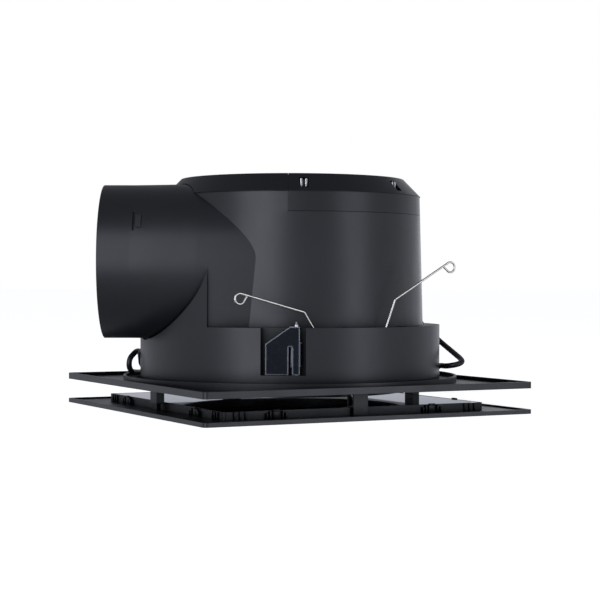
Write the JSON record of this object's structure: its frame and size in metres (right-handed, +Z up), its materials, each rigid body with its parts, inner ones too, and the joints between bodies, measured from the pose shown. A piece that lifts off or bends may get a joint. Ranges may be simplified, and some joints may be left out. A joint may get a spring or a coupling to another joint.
{
  "type": "bathroom extractor fan",
  "caption": "Ceiling extractor fan: drum housing with a side duct spigot, clamped mounting collar, square frame plate and a sprung cover panel with an edge air gap.",
  "frame": {"origin": "on the mounting collar's axis, at the ceiling plane, where the collar flange's lip meets the ceiling", "axes": "+Z up into the ceiling void along the collar's axis; the duct leaves towards -X"},
  "size_m": [0.4566, 0.4566, 0.224],
  "materials": {
    "housing_plastic": "satin",
    "cap_plastic": "satin",
    "collar_plastic": "satin",
    "plate_plastic": "satin, fine texture",
    "baffle_gloss": "high gloss",
    "clamp_coating": "gloss coated steel",
    "spring_wire": "bright drawn wire",
    "bright_steel": "zinc plated",
    "dark_steel": "black oxide",
    "motor_steel": "zinc plated sheet",
    "lamination_steel": "stacked sheet",
    "copper_enamel": "enamelled copper wire",
    "impeller_plastic": "satin",
    "flap_plastic": "satin",
    "clip_plastic": "satin",
    "seal_rubber": "matt",
    "terminal_plastic": "satin",
    "capacitor_case": "gloss",
    "gland_nylon": "satin",
    "cord_pvc": "satin sheath",
    "plug_plastic": "satin",
    "pin_brass": "plain brass"
  },
  "bodies": {
    "housing": {"fan_housing": "housing_plastic", "outlet_side_cap": "cap_plastic", "service_cap": "cap_plastic", "mounting_collar": "collar_plastic", "frame_plate": "plate_plastic", "inlet_ring": "housing_plastic", "inlet_screws": "bright_steel", "flange_screws": "dark_steel", "motor_top_shell": "motor_steel", "motor_bottom_shell": "motor_steel", "stator_core": "lamination_steel", "stator_windings": "copper_enamel", "upper_bearing": "bright_steel", "lower_bearing": "bright_steel", "motor_screws": "bright_steel", "flap_pivot_clips": "clip_plastic", "flap_seat": "seal_rubber", "terminal_box": "housing_plastic", "terminal_lid": "housing_plastic", "lid_screws": "bright_steel", "terminal_block": "terminal_plastic", "run_capacitor": "capacitor_case", "cable_gland": "gland_nylon", "gland_locknut": "gland_nylon", "cord_boot": "cord_pvc", "supply_cord": "cord_pvc", "plug_body": "plug_plastic", "plug_boot": "cord_pvc", "plug_pins": "pin_brass"},
    "rotor": {"motor_shaft": "bright_steel", "rotor_core": "lamination_steel", "impeller": "impeller_plastic", "impeller_nut": "bright_steel"},
    "flap": {"damper_flap": "flap_plastic", "flap_pin": "bright_steel"},
    "panel": {"cover_panel": "plate_plastic", "panel_baffle": "baffle_gloss", "spring_bracket_a": "plate_plastic", "spacer_post_a": "plate_plastic", "spring_pin_a": "bright_steel", "spring_coil_a": "spring_wire", "spring_bracket_b": "plate_plastic", "spacer_post_b": "plate_plastic", "spring_pin_b": "bright_steel", "spring_coil_b": "spring_wire"},
    "spring_leg_a_left": {"spring_leg_a_left": "spring_wire"},
    "spring_leg_a_right": {"spring_leg_a_right": "spring_wire"},
    "spring_leg_b_left": {"spring_leg_b_left": "spring_wire"},
    "spring_leg_b_right": {"spring_leg_b_right": "spring_wire"},
    "clamp_nut_1": {"clamp_nut_1": "bright_steel"},
    "clamp_dog_1": {"clamp_dog_1": "clamp_coating"},
    "clamp_screw_1": {"clamp_screw_1": "bright_steel"},
    "clamp_nut_2": {"clamp_nut_2": "bright_steel"},
    "clamp_dog_2": {"clamp_dog_2": "clamp_coating"},
    "clamp_screw_2": {"clamp_screw_2": "bright_steel"},
    "clamp_nut_3": {"clamp_nut_3": "bright_steel"},
    "clamp_dog_3": {"clamp_dog_3": "clamp_coating"},
    "clamp_screw_3": {"clamp_screw_3": "bright_steel"}
  },
  "joints": [
    {"name": "rotor_spin", "type": "hinge", "parent": "housing", "child": "rotor", "pos_m": [0.002, 0, 0.1], "axis": [0, 0, 1], "continuous": true},
    {"name": "flap_swing", "type": "hinge", "parent": "housing", "child": "flap", "pos_m": [-0.139, -0.0485, 0.1463], "axis": [0, 1, 0], "range_deg": [0, 45]},
    {"name": "panel_drop", "type": "slide", "parent": "housing", "child": "panel", "axis": [0, 0, 1], "range_m": [-0.05, 0], "stiffness_N_per_m": 60, "springref_m": 0.12},
    {"name": "spring_leg_a_left_pivot", "type": "hinge", "parent": "panel", "child": "spring_leg_a_left", "pos_m": [0.06166, -0.11694, -0.0134], "axis": [0.4664, -0.8846, 0], "range_deg": [-23.42, 0]},
    {"name": "spring_leg_a_right_pivot", "type": "hinge", "parent": "panel", "child": "spring_leg_a_right", "pos_m": [0.06371, -0.12083, -0.0134], "axis": [0.4664, -0.8846, 0], "range_deg": [0, 17.12]},
    {"name": "spring_leg_b_left_pivot", "type": "hinge", "parent": "panel", "child": "spring_leg_b_left", "pos_m": [-0.06166, 0.11694, -0.0134], "axis": [-0.4664, 0.8846, 0], "range_deg": [-23.42, 0]},
    {"name": "spring_leg_b_right_pivot", "type": "hinge", "parent": "panel", "child": "spring_leg_b_right", "pos_m": [-0.06371, 0.12083, -0.0134], "axis": [-0.4664, 0.8846, 0], "range_deg": [0, 17.12]},
    {"name": "clamp_screw_1_turn", "type": "hinge", "parent": "housing", "child": "clamp_screw_1", "pos_m": [0.00662, -0.13982, 0.025], "axis": [0, 0, 1], "continuous": true},
    {"name": "clamp_1_travel", "type": "slide", "parent": "housing", "child": "clamp_nut_1", "axis": [0, 0, 1], "range_m": [0, 0.01]},
    {"name": "clamp_1_swing", "type": "hinge", "parent": "clamp_nut_1", "child": "clamp_dog_1", "pos_m": [0.00662, -0.13982, 0.025], "axis": [0, 0, 1], "range_deg": [0, 90]},
    {"name": "clamp_screw_2_turn", "type": "hinge", "parent": "housing", "child": "clamp_screw_2", "pos_m": [0.11777, 0.07565, 0.025], "axis": [0, 0, 1], "continuous": true},
    {"name": "clamp_2_travel", "type": "slide", "parent": "housing", "child": "clamp_nut_2", "axis": [0, 0, 1], "range_m": [0, 0.01]},
    {"name": "clamp_2_swing", "type": "hinge", "parent": "clamp_nut_2", "child": "clamp_dog_2", "pos_m": [0.11777, 0.07565, 0.025], "axis": [0, 0, 1], "range_deg": [0, 90]},
    {"name": "clamp_screw_3_turn", "type": "hinge", "parent": "housing", "child": "clamp_screw_3", "pos_m": [-0.1244, 0.06417, 0.025], "axis": [0, 0, 1], "continuous": true},
    {"name": "clamp_3_travel", "type": "slide", "parent": "housing", "child": "clamp_nut_3", "axis": [0, 0, 1], "range_m": [0, 0.01]},
    {"name": "clamp_3_swing", "type": "hinge", "parent": "clamp_nut_3", "child": "clamp_dog_3", "pos_m": [-0.1244, 0.06417, 0.025], "axis": [0, 0, 1], "range_deg": [0, 90]}
  ],
  "couplings": [
    {"joint": "spring_leg_a_left_pivot", "follows": "panel_drop", "rad_per_m": 8},
    {"joint": "spring_leg_a_right_pivot", "follows": "panel_drop", "rad_per_m": -5.8},
    {"joint": "spring_leg_b_left_pivot", "follows": "panel_drop", "rad_per_m": 8},
    {"joint": "spring_leg_b_right_pivot", "follows": "panel_drop", "rad_per_m": -5.8}
  ]
}
